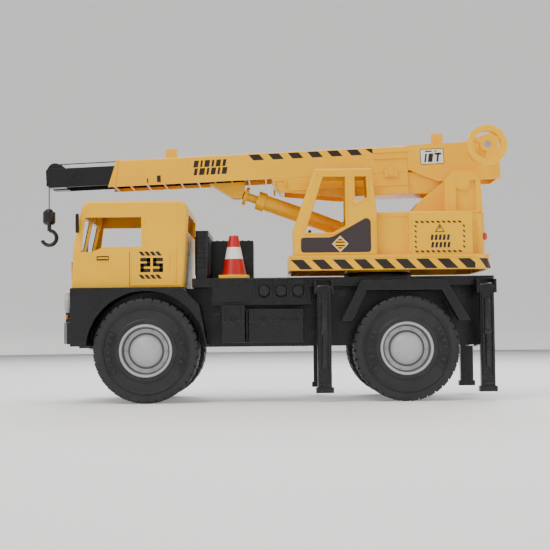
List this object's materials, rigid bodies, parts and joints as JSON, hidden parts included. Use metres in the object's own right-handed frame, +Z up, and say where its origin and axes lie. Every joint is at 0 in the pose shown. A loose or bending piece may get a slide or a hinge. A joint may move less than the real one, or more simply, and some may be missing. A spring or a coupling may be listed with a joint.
{
  "type": "toy crane truck",
  "caption": "Toy mobile crane truck: cab, chassis on two axles, slewing turret with operator cab, luffing telescopic boom, winch, hook and fold-out outriggers.",
  "frame": {"origin": "on the ground under the middle of the truck's length and width, string and hook left out", "axes": "+X towards the rear, the cab looks along -X; -Y is the truck's left side; +Z up"},
  "size_m": [0.4375, 0.134, 0.2515],
  "materials": {
    "yellow_plastic": "glossy moulded",
    "black_plastic": "satin moulded",
    "tyre_rubber": "matt moulded",
    "rim_grey": "satin moulded",
    "axle_steel": "drawn",
    "zinc_screw": "zinc plated",
    "cone_red": "satin moulded",
    "button_black": "satin moulded",
    "string_black": "twisted",
    "hook_black": "satin moulded",
    "lamp_clear": "glossy",
    "board_green": "coated",
    "cell_shell": "satin",
    "contact_plate": "plated"
  },
  "bodies": {
    "chassis": {"chassis_frame": "black_plastic", "battery_tray": "black_plastic", "battery_cells": "cell_shell", "battery_contacts": "contact_plate", "battery_door": "black_plastic", "chassis_screws": "zinc_screw", "circuit_board": "board_green", "front_cab": "yellow_plastic", "cab_floor": "black_plastic", "cab_grille": "black_plastic", "headlights": "lamp_clear", "front_bumper": "black_plastic", "front_fender_left": "black_plastic", "front_fender_right": "black_plastic", "rear_flare_left": "black_plastic", "rear_flare_right": "black_plastic", "side_box_left": "black_plastic", "side_box_right": "black_plastic", "engine_cover": "black_plastic", "speaker": "black_plastic", "outrigger_pins": "axle_steel", "slew_ring": "black_plastic"},
    "front_wheels": {"tyre_front_left": "tyre_rubber", "tyre_front_right": "tyre_rubber", "rim_front_left": "rim_grey", "rim_front_right": "rim_grey", "front_axle": "axle_steel"},
    "rear_wheels": {"tyre_rear_left": "tyre_rubber", "tyre_rear_right": "tyre_rubber", "rim_rear_left": "rim_grey", "rim_rear_right": "rim_grey", "rear_axle": "axle_steel"},
    "traffic_cone": {"traffic_cone": "cone_red"},
    "turret": {"turret_deck": "yellow_plastic", "slew_bolt": "zinc_screw", "crane_cab": "yellow_plastic", "machinery_housing": "yellow_plastic", "boom_tower": "yellow_plastic", "boom_pin": "yellow_plastic"},
    "boom": {"boom_outer": "yellow_plastic", "boom_base": "yellow_plastic", "boom_head": "yellow_plastic", "cylinder_bracket": "yellow_plastic", "string_run": "string_black"},
    "inner_boom": {"inner_boom": "black_plastic"},
    "tip_sheave": {"tip_sheave": "black_plastic"},
    "hook_line": {"string_drop": "string_black"},
    "hook": {"hook": "hook_black"},
    "winch": {"winch_drum": "yellow_plastic", "crank_wheel": "yellow_plastic", "crank_screw": "zinc_screw"},
    "lift_rod": {"lift_rod": "yellow_plastic"},
    "lift_barrel": {"lift_barrel": "yellow_plastic"},
    "sound_button_1": {"sound_button_1": "button_black"},
    "sound_button_2": {"sound_button_2": "button_black"},
    "sound_button_3": {"sound_button_3": "button_black"},
    "outrigger_front_left": {"outrigger_front_left": "black_plastic"},
    "outrigger_front_right": {"outrigger_front_right": "black_plastic"},
    "outrigger_rear_left": {"outrigger_rear_left": "black_plastic"},
    "outrigger_rear_right": {"outrigger_rear_right": "black_plastic"}
  },
  "joints": [
    {"name": "front_wheel_spin", "type": "hinge", "parent": "chassis", "child": "front_wheels", "pos_m": [-0.115, 0, 0.0475], "axis": [0, 1, 0], "continuous": true},
    {"name": "rear_wheel_spin", "type": "hinge", "parent": "chassis", "child": "rear_wheels", "pos_m": [0.12, 0, 0.0475], "axis": [0, 1, 0], "continuous": true},
    {"name": "turret_slew", "type": "hinge", "parent": "chassis", "child": "turret", "pos_m": [0.1, 0, 0.105], "axis": [0, 0, 1], "continuous": true},
    {"name": "boom_lift", "type": "hinge", "parent": "turret", "child": "boom", "pos_m": [0.176, 0, 0.2], "axis": [0, 1, 0], "range_deg": [0, 45]},
    {"name": "boom_extend", "type": "slide", "parent": "boom", "child": "inner_boom", "axis": [-0.9992, 0, -0.0401], "range_m": [0, 0.08]},
    {"name": "tip_sheave_spin", "type": "hinge", "parent": "inner_boom", "child": "tip_sheave", "pos_m": [-0.20749, 0, 0.21952], "axis": [0, 1, 0], "continuous": true},
    {"name": "hook_swing", "type": "hinge", "parent": "inner_boom", "child": "hook_line", "pos_m": [-0.20749, 0, 0.21952], "axis": [0, 1, 0], "range_deg": [-45, 0]},
    {"name": "hook_drop", "type": "slide", "parent": "hook_line", "child": "hook", "axis": [0, 0, -1], "range_m": [0, 0.1102]},
    {"name": "winch_crank", "type": "hinge", "parent": "boom", "child": "winch", "pos_m": [0.19654, 0, 0.23185], "axis": [0, 1, 0], "range_deg": [0, 1440]},
    {"name": "lift_rod_pivot", "type": "hinge", "parent": "boom", "child": "lift_rod", "pos_m": [-0.03302, 0, 0.19621], "axis": [0, 1, 0], "range_deg": [0, 3.7]},
    {"name": "lift_stroke", "type": "slide", "parent": "lift_rod", "child": "lift_barrel", "axis": [0.9422, 0, -0.335], "range_m": [0, 0.064]},
    {"name": "cone_lift_off", "type": "slide", "parent": "chassis", "child": "traffic_cone", "axis": [0, 0, 1], "range_m": [0, 0.06]},
    {"name": "outrigger_front_left_fold", "type": "hinge", "parent": "chassis", "child": "outrigger_front_left", "pos_m": [0.046, -0.0605, 0.1025], "axis": [-1, 0, 0], "range_deg": [0, 90]},
    {"name": "outrigger_front_right_fold", "type": "hinge", "parent": "chassis", "child": "outrigger_front_right", "pos_m": [0.046, 0.0605, 0.1025], "axis": [1, 0, 0], "range_deg": [0, 90]},
    {"name": "outrigger_rear_left_fold", "type": "hinge", "parent": "chassis", "child": "outrigger_rear_left", "pos_m": [0.193, -0.0605, 0.1025], "axis": [-1, 0, 0], "range_deg": [0, 90]},
    {"name": "outrigger_rear_right_fold", "type": "hinge", "parent": "chassis", "child": "outrigger_rear_right", "pos_m": [0.193, 0.0605, 0.1025], "axis": [1, 0, 0], "range_deg": [0, 90]},
    {"name": "sound_button_1_press", "type": "slide", "parent": "chassis", "child": "sound_button_1", "axis": [0, 1, 0], "range_m": [0, 0.0015], "stiffness_N_per_m": 300, "springref_m": -0.0008},
    {"name": "sound_button_2_press", "type": "slide", "parent": "chassis", "child": "sound_button_2", "axis": [0, 1, 0], "range_m": [0, 0.0015], "stiffness_N_per_m": 300, "springref_m": -0.0008},
    {"name": "sound_button_3_press", "type": "slide", "parent": "chassis", "child": "sound_button_3", "axis": [0, 1, 0], "range_m": [0, 0.0015], "stiffness_N_per_m": 300, "springref_m": -0.0008}
  ],
  "couplings": [
    {"joint": "hook_drop", "follows": "winch_crank", "m_per_rad": 0.00438},
    {"joint": "hook_swing", "follows": "boom_lift", "ratio": -1},
    {"joint": "lift_rod_pivot", "follows": "boom_lift", "ratio": 0.08},
    {"joint": "lift_stroke", "follows": "boom_lift", "m_per_rad": 0.081}
  ]
}
